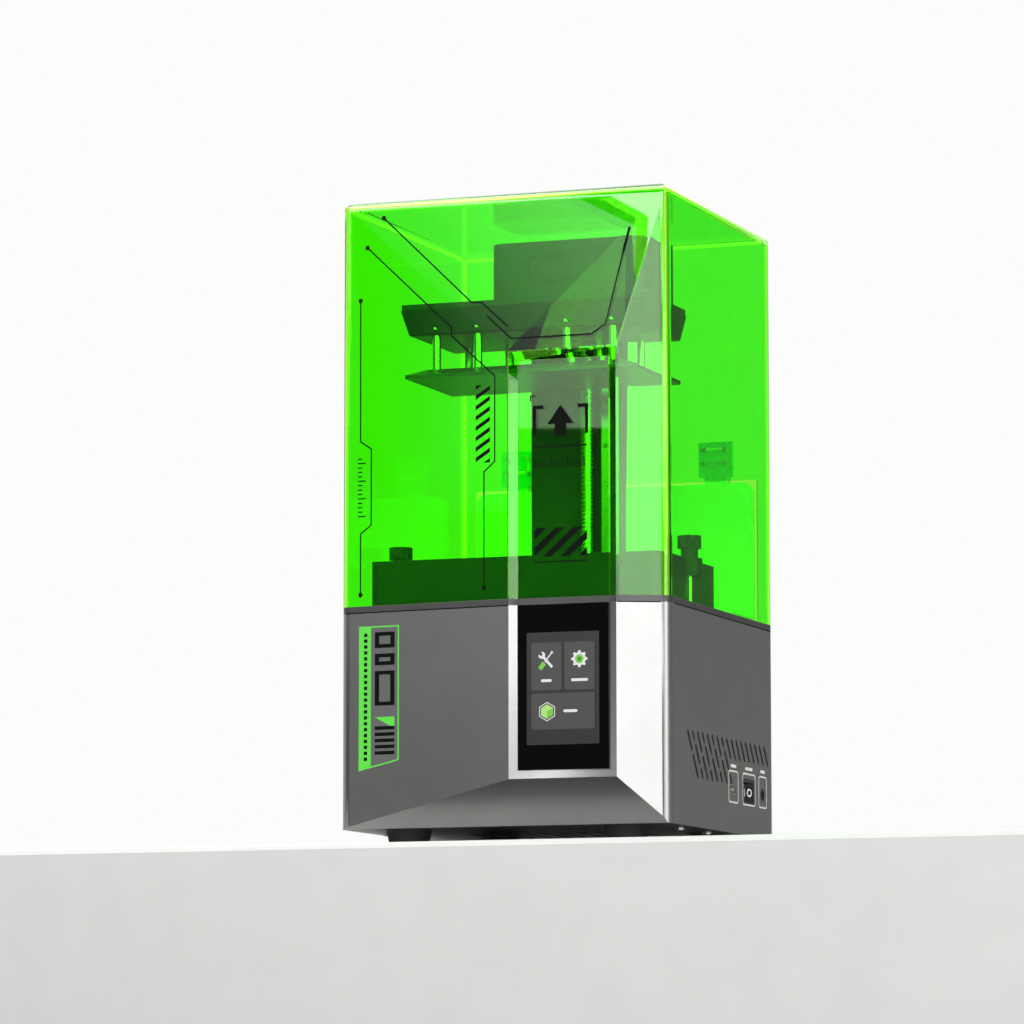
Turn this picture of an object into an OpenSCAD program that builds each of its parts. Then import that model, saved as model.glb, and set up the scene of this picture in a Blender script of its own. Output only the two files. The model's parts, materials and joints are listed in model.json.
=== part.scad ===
// Desktop resin printer with a flip-up tinted cover.
// Millimetres. Origin: centre of the footprint, on the surface the feet stand on.
// +Z up, the touch screen faces -Y, +X is the side with the power switch.

/* [Body] */
// Width across the side walls
body_w = 242; // [240:0.5:246]
// Depth from the flat front edges to the rear wall
body_d = 236; // [234:0.5:240]
// Height of the rubber feet
foot_h = 11; // [9:0.5:12]
// Height of the base's top edge
base_top = 161; // [158:0.5:162]
// Height of the trim band's top edge, where the cover starts
deck_z = 165.5; // [164.5:0.5:166]
// Overall height
total_h = 451; // [450:0.5:455]
// How far the front pyramid and the hinge stand out
nose = 16; // [14:0.5:17]
// Radius of the upright corners
corner_r = 9; // [5:0.5:10]
// Thickness of the base's sheet metal
wall = 2; // [1.5:0.25:2.5]
// Thickness of the cover's acrylic
lid_wall = 3; // [2.5:0.25:3]

/* [Front channel] */
// Left outer edge of the raised front channel
ridge_l = 10; // [8:0.5:15]
// Right outer edge of the raised front channel
ridge_r = 88; // [82:0.5:90]
// Lower outer edge of the channel
ridge_bot = 42; // [40:0.5:48]
// Upper outer edge of the channel
ridge_top = 336; // [330:1:340]
// Width of the bevels on the channel's sides
bevel_w = 6; // [4:0.25:7]
// Depth of the channel's floor behind the ridges
channel_d = 2.5; // [2:0.25:6]

/* [Vat] */
// Width of the resin vat
vat_w = 214; // [210:1:214]
// Depth of the resin vat
vat_d = 119; // [116:1:120]
// Centre of the vat, the panel and the platform
work_y = -37.5; // [-38:0.5:-37]
// Height of the vat's rim
vat_top = 199; // [196:0.5:200]
// Width of the vat's basin
basin_w = 182; // [180:1:184]
// Depth of the vat's basin
basin_d = 108; // [106:1:108]
// Distance of each thumb screw from the centre line
knob_x = 107; // [106:0.5:108]
// Radius of a thumb screw's cap
knob_r = 8.3; // [7:0.1:8.5]

/* [Platform] */
// Width of the build plate
plate_w = 172; // [160:1:173]
// Depth of the build plate
plate_d = 94; // [90:1:95]
// Height of the build plate's face when parked
plate_z = 329; // [327:0.5:331]
// Width of the block that carries the plate
block_w = 182; // [178:1:184]
// Radius of a floating post
post_r = 3; // [2.5:0.25:3]

/* [Z axis] */
// Lead screw's place
screw_x = 10; // [9:0.5:10]
// Lead screw's distance behind the centre
screw_y = 28; // [27.5:0.5:28]
// Lead screw's radius
screw_r = 5; // [4:0.5:5]
// Linear rail's place
rail_x = 23.5; // [23.5:0.5:24]
// Width of the linear rail
rail_w = 7; // [6:0.5:7]
// Width of the tower's column
column_w = 69; // [66:1:70]
// Front face of the tower's column
column_y = 36; // [36:0.5:37]
// Depth of the tower's column
column_d = 16; // [14:1:20]

/* [Cover hinge] */
// Distance of the hinge pin behind the centre
hinge_y = 125; // [125:0.5:126]
// Height of the hinge pin
hinge_z = 262; // [260:1:264]
// Radius of the hinge pin
pin_r = 3; // [2.5:0.25:3.5]

/* [Hidden] */
$fn = 48;
eps = 0.01;
fit = 0.05;                                  // radial clearance of a running fit
half_w = body_w / 2;
half_d = body_d / 2;
screen_x = [ridge_l + bevel_w, ridge_r - bevel_w];     // glass between the bevels
glass_t = 1.2;
glass_y = -half_d - nose + channel_d - glass_t;
usb_y = 20.6;
switch_y = 56.5;
jack_y = 88.5;
port_mid_z = 41.5;
rocker_size = [18, 13.5];                    // along the wall, height
shank_r = 1.5;
shank_hole_r = 1.6;
vent_pitch = 10.8;
vent_lean = 36;                              // degrees from upright
vent_y0 = -82;
vent_top = 77;
vent_bottom = 45;
vent_w = 3.2;
lcd_w = 153;
lcd_d = 78;
film_z = 170;
film_t = 0.3;
block_z = [360, 382];
block_y = [-83, 10];
block_taper = 6;
pocket_z = 378;
pocket_r = 5.6;
post_x = [-66, -35, 35, 66];
post_y = [-73, -10];
carriage_z = [361, 388];
hood_z = [390, 440];
hood_y = [17, 77];
hood_w = 122;
hood_t = 2.5;
upright_w = 212;
upright_y = [111, 116];
upright_top = 270.5;
lid_gap_w = 216;
lid_gap_top = 273;
knuckle_r = 9;
knuckle_half = 16;                           // half the width of each hinge's group
arm_w = 17;                                  // cover's hinge barrel
motor_w = 35;
motor_z = [98, 132.5];
coupler_z = [136, 158];
fan_x = -60;
fan_z = 75;
fan_w = 60;
fan_y = [100, 115];
foot_xy = [80, 90];
foot_r = [13.5, 16];                         // at the ground, at the base
plate_t = 2;                                 // bottom plate
plate_x = 118.8;
base_screw_xy = [108, 60];
screen_z = [ridge_bot + bevel_w, base_top];
ridge_fill = 0.5;                            // extra metal behind the channel's bevels
display_z = [57.5, 150.5];
bezel_t = 1.4;
lcd_x1 = lcd_w / 2;
lcd_y = [work_y - lcd_d / 2, work_y + lcd_d / 2];
led_z = [96, 98];                            // LED board
lens_z = [104, 107];
led_pitch = [20, 22];
sink_z = [66, 90, 96];                       // fin tips, fin roots, face
board_z = 24;
board_t = 1.6;
screw_z = [148, 402];
rail_z = [192, 389.5];
rail_h = 5;
rail_screw_z0 = 207;
rail_screw_pitch = 28;
tower_foot_w = 104;
tower_foot_h = 6;
bearing_z = [392, 404];
sensor_z = [391, 402];
arm_x = 44;
arm_y = 18;                                  // rear face of the arm's bracket
arm_screw_x = [-36, -12, 12, 36];
arm_screw_z = 375;
spring_z0 = 6.1;                             // above the block's lower face
spring_h = 11.8;
cap_z = 7.3;                                 // thumb screw's cap above the vat
cap_h = 8.7;
lever_len = 34;
hinge_mid = 76;
lid_screw_xz = [[-8, 286.5], [8, 286.5], [-8, 296.5], [8, 296.5]];
lid_plate = [13, 276, 302];                  // half width, bottom, top

// ---------- outline helpers ----------
function unit(v) = v / norm(v);

// The points of one rounded corner b between a and c.
function corner_arc(a, b, c, r, n) =
    r <= 0 ? [b] :
    let (
        u = unit(a - b),
        w = unit(c - b),
        half = acos(u * w) / 2,
        centre = b + unit(u + w) * r / sin(half),
        t0 = b + u * r / tan(half) - centre,
        t1 = b + w * r / tan(half) - centre,
        a0 = atan2(t0[1], t0[0]),
        turn = (atan2(t1[1], t1[0]) - a0 + 540) % 360 - 180
    )
    [for (i = [0:n]) centre + r * [cos(a0 + turn * i / n), sin(a0 + turn * i / n)]];

// A closed outline whose corners have their own radii.
function rounded(p, r, n = 6) =
    [for (i = [0:len(p) - 1])
        each corner_arc(p[(i + len(p) - 1) % len(p)], p[i], p[(i + 1) % len(p)], r[i], n)];

// The body's outlines seen from above, from the side and from the front, inset by t.
function plan_outline(t) =
    let (w = half_w - t, y = half_d - t, r = corner_r - t, f = -half_d - nose + t)
    rounded([[w, y], [-w, y], [-w, -y], [ridge_l, f], [ridge_r, f], [w, -y]],
            [r, r, r, 0, 0, r]);
function side_outline(t) =
    let (y = half_d - t, f = -half_d - nose + t, slope = nose / (ridge_bot - foot_h))
    rounded([[y, foot_h - t], [y, total_h - t], [-y, total_h - t], [f, ridge_top],
             [f, ridge_bot], [-y + slope * t, foot_h - t]],
            [0, corner_r - t, corner_r - t, 0, 0, 0]);
function front_outline(t) =
    let (w = half_w - t, top = total_h - t)
    rounded([[-w, 0], [w, 0], [w, top], [-w, top]], [0, 0, corner_r - t, corner_r - t]);

module along_x(len) {
    translate([-len / 2, 0, 0])
        rotate([90, 0, 90])
            linear_extrude(len) children();
}

module along_y(len) {
    translate([0, len / 2, 0])
        rotate([90, 0, 0])
            linear_extrude(len) children();
}

// The whole faceted body between two heights, inset by t.
module body_shape(t, z0, z1) {
    intersection() {
        translate([0, 0, z0])
            linear_extrude(z1 - z0) polygon(plan_outline(t));
        along_x(2 * body_w) polygon(side_outline(t));
        along_y(2 * body_w) polygon(front_outline(t));
    }
}

// The bevelled recess down the front, grown by t into the material.
module channel(t) {
    f = -half_d - nose;
    g = t * norm([bevel_w, channel_d]) / channel_d;
    slope = bevel_w / channel_d;
    d = channel_d + t;
    out = 8;                                 // how far the cutter reaches in front
    w = out * slope;
    intersection() {
        linear_extrude(total_h)
            polygon([[ridge_l - g - w, f - out], [ridge_l - g + d * slope, f + d],
                     [ridge_r + g - d * slope, f + d], [ridge_r + g + w, f - out]]);
        along_x(2 * body_w)
            polygon([[f - out, ridge_bot - g - w], [f + d, ridge_bot - g + d * slope],
                     [f + d, ridge_top + g - d * slope], [f - out, ridge_top + g + w]]);
    }
}

module body_shell(t, z0, z1) {
    difference() {
        body_shape(0, z0, z1);
        channel(0);
        difference() {
            body_shape(t, z0 - 1, z1 + 1);
            channel(t + ridge_fill);
        }
    }
}

module box(lo, hi) {
    translate(lo) cube(hi - lo);
}

module rod(p, r, h) {
    translate(p) cylinder(r = r, h = h);
}

module rod_x(p, r, len) {
    translate(p) rotate([0, 90, 0]) cylinder(r = r, h = len);
}

module rod_y(p, r, len) {
    translate(p) rotate([-90, 0, 0]) cylinder(r = r, h = len);
}

// A box with rounded upright edges.
module pad(lo, hi, r) {
    translate([0, 0, lo[2]])
        linear_extrude(hi[2] - lo[2])
            polygon(rounded([[lo[0], lo[1]], [hi[0], lo[1]], [hi[0], hi[1]], [lo[0], hi[1]]],
                            [r, r, r, r]));
}

// A hexagon socket screw whose head's underside is at the origin, pointing down.
module screw(head_r, head_h, shank_l) {
    difference() {
        union() {
            cylinder(r = head_r, h = head_h);
            translate([0, 0, -shank_l]) cylinder(r = shank_r, h = shank_l + eps);
        }
        translate([0, 0, head_h / 2]) cylinder(r = head_r / 2, h = head_h, $fn = 6);
    }
}

// ---------- base ----------
// One slanted slot through the right wall, from height z1 down to z0.
module vent_slot(y_top, z0, z1) {
    r = vent_w / 2;
    len = (z1 - z0) / cos(vent_lean) - 2 * r;
    translate([half_w - 6, y_top + r, z1 - r])
        rotate([vent_lean, 0, 0]) {
            translate([0, -r, -len]) cube([12, vent_w, len]);
            rod_x([0, 0, 0], r, 12);
            rod_x([0, 0, -len], r, 12);
        }
}

module vent_slots() {
    lean = tan(vent_lean);
    for (i = [0:16]) {
        y = vent_y0 + i * vent_pitch;
        breaks = i > 7 ? [[63, 77]] :
                 i % 2 == 0 ? [[63, 77], [vent_bottom, 61]] :
                 [[70, 77], [54.5, 68], [vent_bottom, 52.5]];
        for (b = breaks)
            vent_slot(y + (vent_top - b[1]) * lean, b[0], b[1]);
    }
}

module fan_grille() {
    for (r = [6, 14, 22])
        for (a = [0:360 / (r + 2):359])
            rod_y([fan_x + r * cos(a), half_d - 5, fan_z + r * sin(a)], 2, 10);
}

module base_housing() {
    color("silver")
    difference() {
        body_shell(wall, foot_h, base_top);
        // window behind the touch glass
        box([screen_x[0] + 4, -half_d - nose, display_z[0] - 0.5],
            [screen_x[1] - 4, -half_d, display_z[1] + 0.5]);
        vent_slots();
        fan_grille();
        // port openings
        box([half_w - 6, usb_y - 7.2, port_mid_z - 3.7], [half_w + 1, usb_y + 7.2, port_mid_z + 3.7]);
        box([half_w - 6, switch_y - 13.5, port_mid_z - 9.2],
            [half_w + 1, switch_y + 13.5, port_mid_z + 9.2]);
        rod_x([half_w - 6, jack_y, port_mid_z], 5, 8);
    }
}

module bottom_plate() {
    color("dimgray")
    difference() {
        translate([0, 0, foot_h])
            linear_extrude(plate_t)
                polygon(rounded([[-plate_x, -plate_x + 3], [plate_x, -plate_x + 3],
                                 [plate_x, plate_x - 3], [-plate_x, plate_x - 3]],
                                [6, 6, 6, 6]));
        for (i = [0:9])
            pad([-60 + i * 13, -30, 0], [-55 + i * 13, 30, 30], 2);
        for (sx = [-1, 1], sy = [-1, 1])
            rod([sx * foot_xy[0], sy * foot_xy[1], 0], 2, 30);
        for (sx = [-1, 1], sy = [-1, 0, 1])
            rod([sx * base_screw_xy[0], sy * base_screw_xy[1], 0], shank_hole_r, 30);
    }
}

module rubber_feet() {
    color("black")
    for (sx = [-1, 1], sy = [-1, 1])
        translate([sx * foot_xy[0], sy * foot_xy[1], 0]) {
            cylinder(r1 = foot_r[0], r2 = foot_r[1], h = foot_h);
            cylinder(r = 1.9, h = foot_h + plate_t);
        }
}

module housing_screws() {
    color("gray")
    for (sx = [-1, 1], sy = [-1, 0, 1])
        translate([sx * base_screw_xy[0], sy * base_screw_xy[1], foot_h])
            mirror([0, 0, 1]) screw(3.2, 1.8, plate_t);
}

module top_trim() {
    color("gray")
    difference() {
        body_shape(0, base_top, deck_z);
        channel(0);
        difference() {
            body_shape(5, base_top - 1, deck_z + 1);
            channel(5);
        }
    }
}

module deck_plate() {
    color("darkgray")
    difference() {
        body_shape(5.1, base_top, deck_z);
        channel(5.1);
        // opening under the mask panel
        box([-lcd_x1 + 4, lcd_y[0] + 4, 0], [lcd_x1 - 4, lcd_y[1] - 4, 300]);
        rod([screw_x, screw_y, 0], screw_r + 0.6, 300);
        for (sx = [-1, 1])
            rod([sx * knob_x, work_y, 0], 2.5, 300);
    }
}

module lcd_bezel() {
    color("black")
    difference() {
        pad([-lcd_x1 - 9, lcd_y[0] - 7, deck_z], [lcd_x1 + 9, lcd_y[1] + 7, deck_z + bezel_t], 5);
        box([-lcd_x1, lcd_y[0], 0], [lcd_x1, lcd_y[1], 300]);
    }
}

module lcd_panel() {
    color("darkslategray")
        box([-lcd_x1, lcd_y[0], deck_z], [lcd_x1, lcd_y[1], deck_z + bezel_t]);
}

module light_box() {
    color("whitesmoke")
    difference() {
        box([-lcd_x1 - 2, lcd_y[0], led_z[1]], [lcd_x1 + 2, lcd_y[1], base_top]);
        box([-lcd_x1, lcd_y[0] + 2, led_z[0]], [lcd_x1, lcd_y[1] - 2, deck_z]);
    }
}

module lens_array() {
    color("lightcyan") {
        box([-lcd_x1, lcd_y[0] + 2, lens_z[0]], [lcd_x1, lcd_y[1] - 2, lens_z[1]]);
        for (i = [-3:3], j = [-1:1])
            rod([i * led_pitch[0], work_y + j * led_pitch[1], lens_z[1] - eps], 8, 3);
    }
}

module led_board() {
    color("darkgreen") {
        box([-lcd_x1 - 2, lcd_y[0], led_z[0]], [lcd_x1 + 2, lcd_y[1], led_z[1]]);
        for (i = [-3:3], j = [-1:1])
            translate([i * led_pitch[0] - 2, work_y + j * led_pitch[1] - 2, led_z[1] - eps])
                cube([4, 4, 2]);
    }
}

module led_heatsink() {
    color("gainsboro") {
        box([-60, work_y - 35, sink_z[1]], [60, work_y + 35, sink_z[2]]);
        for (i = [0:11])
            box([-60 + i * 10.6, work_y - 35, sink_z[0]],
                [-57 + i * 10.6, work_y + 35, sink_z[1] + eps]);
    }
}

module mainboard() {
    color("seagreen") {
        box([-95, -20, board_z], [75, 80, board_z + board_t]);
        translate([0, 0, board_z + board_t - eps]) {
            box([-20, 10, 0], [0, 30, 3.5]);
            box([-80, 60, 0], [-30, 70, 9.5]);
            for (i = [0:3])
                box([20 + i * 13, -10, 0], [30 + i * 13, 4, 5.5]);
            for (i = [0:2])
                rod([-70 + i * 16, 0, 0], 5, 12);
        }
    }
}

module board_standoffs() {
    color("gold")
    for (x = [-90, 70], y = [-15, 75])
        rod([x, y, foot_h + plate_t], 3, board_z - foot_h - plate_t);
}

module touch_glass() {
    color("black")
        box([screen_x[0], glass_y, screen_z[0]], [screen_x[1], glass_y + glass_t, screen_z[1]]);
}

module display_module() {
    color("dimgray")
        box([screen_x[0] + 4.5, glass_y + glass_t, display_z[0]],
            [screen_x[1] - 4.5, glass_y + 7, display_z[1]]);
}

module display_bracket() {
    color("gray")
    difference() {
        box([screen_x[0] - 4, glass_y + 7, 50], [screen_x[1] + 4, glass_y + 9, 156]);
        box([screen_x[0] + 14, glass_y, 75], [screen_x[1] - 14, glass_y + 12, 130]);
    }
}

module usb_port() {
    color("lightgray") {
        difference() {
            box([half_w - 17, usb_y - 7, port_mid_z - 3.5], [half_w, usb_y + 7, port_mid_z + 3.5]);
            box([half_w - 14, usb_y - 6.2, port_mid_z - 2.7], [half_w + 1, usb_y + 6.2, port_mid_z + 2.7]);
        }
        box([half_w - 15, usb_y - 5.5, port_mid_z - 0.2], [half_w - 4, usb_y + 5.5, port_mid_z + 1.8]);
    }
}

module dc_jack() {
    color("black") {
        difference() {
            union() {
                rod_x([half_w - 14, jack_y, port_mid_z], 4.9, 14);
                box([half_w - 16, jack_y - 6, port_mid_z - 6], [half_w - 2 - eps, jack_y + 6, port_mid_z + 6]);
            }
            rod_x([half_w - 12, jack_y, port_mid_z], 3.2, 14);
        }
        rod_x([half_w - 13, jack_y, port_mid_z], 1.1, 11);
    }
}

module switch_body() {
    color("black")
    difference() {
        box([half_w - 22, switch_y - 13.3, port_mid_z - 9], [half_w, switch_y + 13.3, port_mid_z + 9]);
        box([half_w - 14, switch_y - rocker_size[0] / 2 - 2.6, port_mid_z - rocker_size[1] / 2 - 0.3],
            [half_w + 1, switch_y + rocker_size[0] / 2 + 2.6, port_mid_z + rocker_size[1] / 2 + 0.3]);
        rod([half_w - 10, switch_y, port_mid_z - 8.5], 1.2 + fit, 17);
    }
}

// The rocker is a thick arc about an upright pivot.
module power_rocker() {
    h = rocker_size[1];
    color("black")
    translate([half_w - 10, switch_y, port_mid_z - h / 2]) {
        linear_extrude(h)
            polygon([[-2, -3], [5, -9], [8.2, -9.3], [7.2, 0], [9.8, 9.3], [6.5, 9], [-2, 3]]);
        rod([0, 0, -1.5], 1.2, h + 3);
    }
}

module fan_frame() {
    color("dimgray")
    difference() {
        box([fan_x - fan_w / 2, fan_y[0], fan_z - fan_w / 2], [fan_x + fan_w / 2, fan_y[1], fan_z + fan_w / 2]);
        difference() {
            rod_y([fan_x, fan_y[0] - 1, fan_z], 28, 20);
            rod_y([fan_x, fan_y[1] - 3, fan_z], 11, 5);
            for (a = [0, 90, 180, 270])
                translate([fan_x, fan_y[1] - 3, fan_z]) rotate([0, a, 0]) cube([40, 5, 3]);
        }
        rod_y([fan_x, fan_y[0] - 1, fan_z], 1.5 + fit, 20);
    }
}

module fan_rotor() {
    color("black")
    translate([fan_x, fan_y[0] + 1, fan_z])
        rotate([-90, 0, 0]) {
            cylinder(r = 11, h = 10);
            cylinder(r = 1.5, h = 13.5);
            for (i = [0:6])
                rotate([0, 0, i * 360 / 7])
                    translate([9, -1, 2])
                        rotate([35, 0, 0]) cube([17, 1.6, 8]);
        }
}

// ---------- Z axis ----------
module z_motor() {
    color("gray") {
        pad([screw_x - motor_w / 2, screw_y - motor_w / 2, motor_z[0]],
            [screw_x + motor_w / 2, screw_y + motor_w / 2, motor_z[1]], 3);
        rod([screw_x, screw_y, motor_z[1]], 11, 2);
        rod([screw_x, screw_y, motor_z[1]], 2.5, 12);
    }
}

module motor_standoffs() {
    s = motor_w / 2 - 4;
    color("silver")
    for (sx = [-s, s], sy = [-s, s])
        rod([screw_x + sx, screw_y + sy, motor_z[1]], 2.5, base_top - motor_z[1]);
}

module tower_foot() {
    color("dimgray")
    difference() {
        box([-tower_foot_w / 2, column_y - 12, deck_z],
            [tower_foot_w / 2, column_y + column_d + 12, deck_z + tower_foot_h]);
        box([-column_w / 2 - 0.2, column_y - 0.2, 0], [column_w / 2 + 0.2, column_y + column_d + 0.2, 300]);
        rod([screw_x, screw_y, 0], screw_r + 1, 300);
    }
}

module z_column() {
    color("darkslategray")
    difference() {
        box([-column_w / 2, column_y, deck_z],
            [column_w / 2, column_y + column_d, hood_z[1] - hood_t]);
        for (sx = [-1, 1])
            box([sx * 17 - 13, column_y + 3, 0], [sx * 17 + 13, column_y + column_d - 3, 500]);
    }
}

module column_cover() {
    color("black")
        box([-column_w / 2, column_y - 1.5, rail_z[0]], [3, column_y, 386]);
}

module linear_rail() {
    color("lightgray")
    difference() {
        box([rail_x - rail_w / 2, column_y - rail_h, rail_z[0]],
            [rail_x + rail_w / 2, column_y, rail_z[1]]);
        for (i = [0:6])
            rod_y([rail_x, column_y - rail_h - 1, rail_screw_z0 + i * rail_screw_pitch], 1.9, 3.5);
    }
}

module rail_screws() {
    color("silver")
    for (i = [0:6])
        rod_y([rail_x, column_y - 4.6, rail_screw_z0 + i * rail_screw_pitch], 1.85, 2.1);
}

module top_bearing() {
    color("gray")
    difference() {
        box([screw_x - 12, column_y - 16, bearing_z[0]], [screw_x + 12, column_y, bearing_z[1]]);
        rod([screw_x, screw_y, 380], screw_r + fit, 40);
    }
}

module limit_sensor() {
    color("darkgreen")
    difference() {
        box([-30, column_y - 9, sensor_z[0]], [-14, column_y, sensor_z[1]]);
        box([-24, column_y - 10, 380], [-20, column_y - 3, 410]);
    }
}

module head_cover() {
    t = hood_t;
    color("darkslategray")
    difference() {
        pad([-hood_w / 2, hood_y[0], hood_z[0]], [hood_w / 2, hood_y[1], hood_z[1]], 12);
        pad([-hood_w / 2 + t, hood_y[0] + t, hood_z[0] - 1],
            [hood_w / 2 - t, hood_y[1] - t, hood_z[1] - t], 9.5);
    }
}

module lead_screw() {
    color("silver")
        rod([screw_x, screw_y, screw_z[0]], screw_r, screw_z[1] - screw_z[0]);
}

module shaft_coupler() {
    color("lightgray")
    difference() {
        rod([screw_x, screw_y, coupler_z[0]], 9, coupler_z[1] - coupler_z[0]);
        rod([screw_x, screw_y, 100], 2.5 + fit, 100);
        rod([screw_x, screw_y, screw_z[0]], screw_r, 20);
    }
}

// ---------- moving arm ----------
module lead_nut() {
    color("goldenrod")
    difference() {
        box([screw_x - 10, arm_y, carriage_z[0]], [screw_x + 9, column_y - 2.1, carriage_z[0] + 9]);
        rod([screw_x, screw_y, 300], screw_r + fit, 200);
    }
}

module rail_carriage() {
    color("gainsboro")
    difference() {
        box([rail_x - 8, column_y - 10, carriage_z[0] + 10], [rail_x + 8, column_y - 0.6, carriage_z[1]]);
        box([rail_x - rail_w / 2 - fit, column_y - rail_h - fit, 300],
            [rail_x + rail_w / 2 + fit, column_y + 1, 500]);
    }
}

module arm_bracket() {
    color("dimgray")
    difference() {
        union() {
            box([-arm_x, block_y[1], carriage_z[0]], [arm_x, arm_y, carriage_z[1]]);
            box([rail_x - 8, arm_y - eps, carriage_z[0] + 10], [rail_x + 8, column_y - 10, carriage_z[1]]);
        }
        for (x = arm_screw_x)
            rod_y([x, block_y[1] + 1, arm_screw_z], shank_hole_r, 10);
    }
}

module arm_screws() {
    color("silver")
    for (x = arm_screw_x)
        translate([x, arm_y, arm_screw_z])
            rotate([-90, 0, 0]) screw(3, 2.5, 6);
}

module limit_flag() {
    color("gray") {
        box([-24, arm_y, 380], [-20, 26, 386]);
        box([-22.6, 26 - eps, 380], [-21.4, column_y - 3.2, 389.5]);
    }
}

// Tapered block: full size at the top, narrower at the bottom on all sides.
module platform_block() {
    x1 = block_w / 2;
    x0 = x1 - block_taper;
    color("#202020")
    difference() {
        intersection() {
            box([-x1, block_y[0], block_z[0]], [x1, block_y[1], pocket_z]);
            along_y(400)
                polygon(rounded([[-x0, block_z[0]], [x0, block_z[0]], [x1, block_z[1]], [-x1, block_z[1]]],
                                [2, 2, 0, 0]));
            along_x(400)
                polygon(rounded([[block_y[0] + block_taper, block_z[0]], [block_y[1], block_z[0]],
                                 [block_y[1], block_z[1]], [block_y[0], block_z[1]]],
                                [2, 2, 0, 0]));
        }
        for (x = post_x, y = post_y) {
            rod([x, y, 350], post_r + fit, 40);
            rod([x, y, block_z[0] + 4], pocket_r, 40);
        }
    }
}

module platform_cover() {
    x1 = block_w / 2;
    color("#242424")
        pad([-x1 + 1, block_y[0] + 1, pocket_z], [x1 - 1, block_y[1], block_z[1]], 3);
}

module release_lever() {
    color("gray")
    translate([0, -8, block_z[1]]) {
        cylinder(r = 9, h = 5);
        translate([0, -5, 0]) cube([lever_len, 10, 4]);
        rod([lever_len, 0, 0], 5, 4);
    }
}

module float_posts() {
    color("gainsboro")
    for (x = post_x, y = post_y) {
        rod([x, y, plate_z + 7], post_r, 37);
        rod([x, y, block_z[0] + 4 + eps], 5, 2);
    }
}

module float_springs() {
    color("silver")
    for (x = post_x, y = post_y)
        translate([x, y, block_z[0] + spring_z0])
            difference() {
                cylinder(r = 5, h = spring_h);
                translate([0, 0, -1]) cylinder(r = 3.6, h = spring_h + 2);
            }
}

module build_plate() {
    x1 = plate_w / 2;
    y0 = work_y - plate_d / 2;
    y1 = work_y + plate_d / 2;
    color("#303030")
    intersection() {
        pad([-x1, y0, plate_z], [x1, y1, plate_z + 9], 2);
        along_y(400)
            polygon([[-x1, plate_z], [x1, plate_z], [x1, plate_z + 2.5], [x1 - 14, plate_z + 7],
                     [-x1 + 14, plate_z + 7], [-x1, plate_z + 2.5]]);
        along_x(400)
            polygon([[y0, plate_z], [y1, plate_z], [y1, plate_z + 2.5], [y1 - 9, plate_z + 7],
                     [y0 + 9, plate_z + 7], [y0, plate_z + 2.5]]);
    }
}

// ---------- vat ----------
module vat_outline(t) {
    polygon(rounded([[-vat_w / 2 + t, work_y - vat_d / 2 + t], [vat_w / 2 - t, work_y - vat_d / 2 + t],
                     [vat_w / 2 - t, work_y + vat_d / 2 - t], [-vat_w / 2 + t, work_y + vat_d / 2 - t]],
                    [6, 6, 6, 6]));
}

module vat_body() {
    color("#262626")
    difference() {
        union() {
            translate([0, 0, deck_z])
                linear_extrude(vat_top - deck_z) vat_outline(0);
            for (sx = [-1, 1])
                rod([sx * knob_x, work_y, vat_top - 12], 9, 12);
        }
        pad([-basin_w / 2, work_y - basin_d / 2, 100], [basin_w / 2, work_y + basin_d / 2, 300], 8);
        // rebate for the film and its frame
        box([-basin_w / 2 - 5.2, work_y - basin_d / 2 - 2.7, 100],
            [basin_w / 2 + 5.2, work_y + basin_d / 2 + 2.7, film_z + film_t]);
        // slots that let the vat slide forward under the thumb screws
        for (sx = [-1, 1]) {
            rod([sx * knob_x, work_y, 100], 3.2, 200);
            rod([sx * knob_x, work_y + 5, 100], 3.2, 200);
            box([sx * knob_x - 3.2, work_y, 100], [sx * knob_x + 3.2, work_y + 5, 300]);
        }
    }
}

module vat_film() {
    color("lightcyan")
        translate([0, work_y, film_z])
            linear_extrude(film_t)
                square([basin_w + 10, basin_d + 5], center = true);
}

module film_frame() {
    color("silver")
    difference() {
        translate([0, work_y, film_z - 2.4])
            linear_extrude(2.4) square([basin_w + 10, basin_d + 5], center = true);
        box([-basin_w / 2 + 4, work_y - basin_d / 2 + 4, 0], [basin_w / 2 - 4, work_y + basin_d / 2 - 4, 300]);
    }
}

module film_screws() {
    color("silver")
    for (sx = [-1, 1], i = [-2:2])
        rod([sx * (basin_w / 2 + 1), work_y + i * 22, film_z - 2.8], 1.8, 0.4);
}

module vat_studs() {
    color("silver")
    for (sx = [-1, 1])
        rod([sx * knob_x, work_y, base_top + 1], 2.4, vat_top + 10 - base_top - 1);
}

module thumb_screw(x) {
    difference() {
        union() {
            rod([x, work_y, vat_top + 0.2], 6, 7.6);
            rod([x, work_y, vat_top + cap_z], knob_r, cap_h);
        }
        rod([x, work_y, vat_top - 1], 2.4 + fit, 12);
        for (a = [0:20:359])
            rod([x + (knob_r + 0.5) * cos(a), work_y + (knob_r + 0.5) * sin(a), vat_top + cap_z - 1],
                1, cap_h + 2);
    }
}

module knob_left() {
    color("black") thumb_screw(-knob_x);
}

module knob_right() {
    color("black") thumb_screw(knob_x);
}

// ---------- cover hinge ----------
module rear_upright() {
    color("dimgray") {
        translate([0, upright_y[1], 0])
            rotate([90, 0, 0])
                linear_extrude(upright_y[1] - upright_y[0])
                    polygon(rounded([[-upright_w / 2, deck_z], [upright_w / 2, deck_z],
                                     [upright_w / 2, upright_top], [-upright_w / 2, upright_top]],
                                    [0, 0, 8, 8]));
        box([-upright_w / 2, 64, deck_z], [upright_w / 2, upright_y[0] + eps, deck_z + 6]);
    }
}

module knuckle(x0, x1) {
    rod_x([x0, hinge_y, hinge_z], knuckle_r, x1 - x0);
    box([x0, upright_y[1], hinge_z - 40], [x1, hinge_y, hinge_z]);
}

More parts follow.
